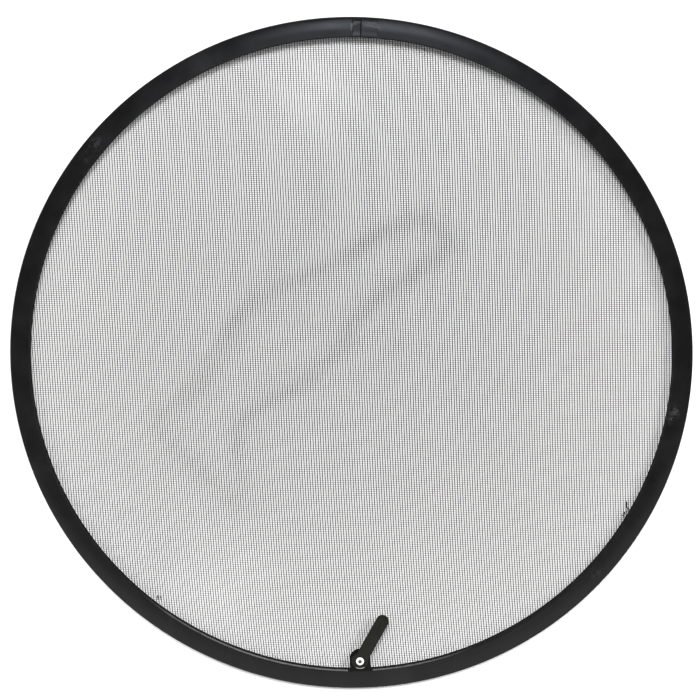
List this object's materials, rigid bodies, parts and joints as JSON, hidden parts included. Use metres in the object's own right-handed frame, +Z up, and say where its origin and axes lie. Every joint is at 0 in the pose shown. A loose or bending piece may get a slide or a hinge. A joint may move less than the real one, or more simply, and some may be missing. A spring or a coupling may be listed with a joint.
{
  "type": "fire pit spark screen",
  "caption": "Flat round spark screen: fine woven wire mesh in a black rolled sheet-metal rim with a riveted turn latch.",
  "frame": {"origin": "centre of the ring, on the plane of the rim's back face that it rests on", "axes": "+Z up out of the face that carries the latch; the latch pivot is at -Y and the rim seam is beside +Y; +X completes a right-handed frame"},
  "size_m": [0.48, 0.48, 0.0108],
  "materials": {
    "rim_paint": "black high-temperature paint, satin",
    "mesh_wire": "blackened woven wire, satin",
    "lever_paint": "olive-black paint, satin",
    "rivet_aluminium": "bare, bright",
    "zinc": "zinc plated",
    "plain_steel": "plain drawn steel"
  },
  "bodies": {
    "screen": {"rim_channel": "rim_paint", "wire_mesh": "mesh_wire", "hoop_wire": "plain_steel", "seam_splice": "rim_paint", "lever_washer": "zinc", "backing_washer": "zinc", "rivet_body": "rivet_aluminium", "rivet_mandrel": "plain_steel"},
    "latch": {"latch_lever": "lever_paint"}
  },
  "joints": [
    {"name": "latch_turn", "type": "hinge", "parent": "screen", "child": "latch", "pos_m": [0, -0.218, 0.00875], "axis": [0, 0, 1], "continuous": true}
  ]
}
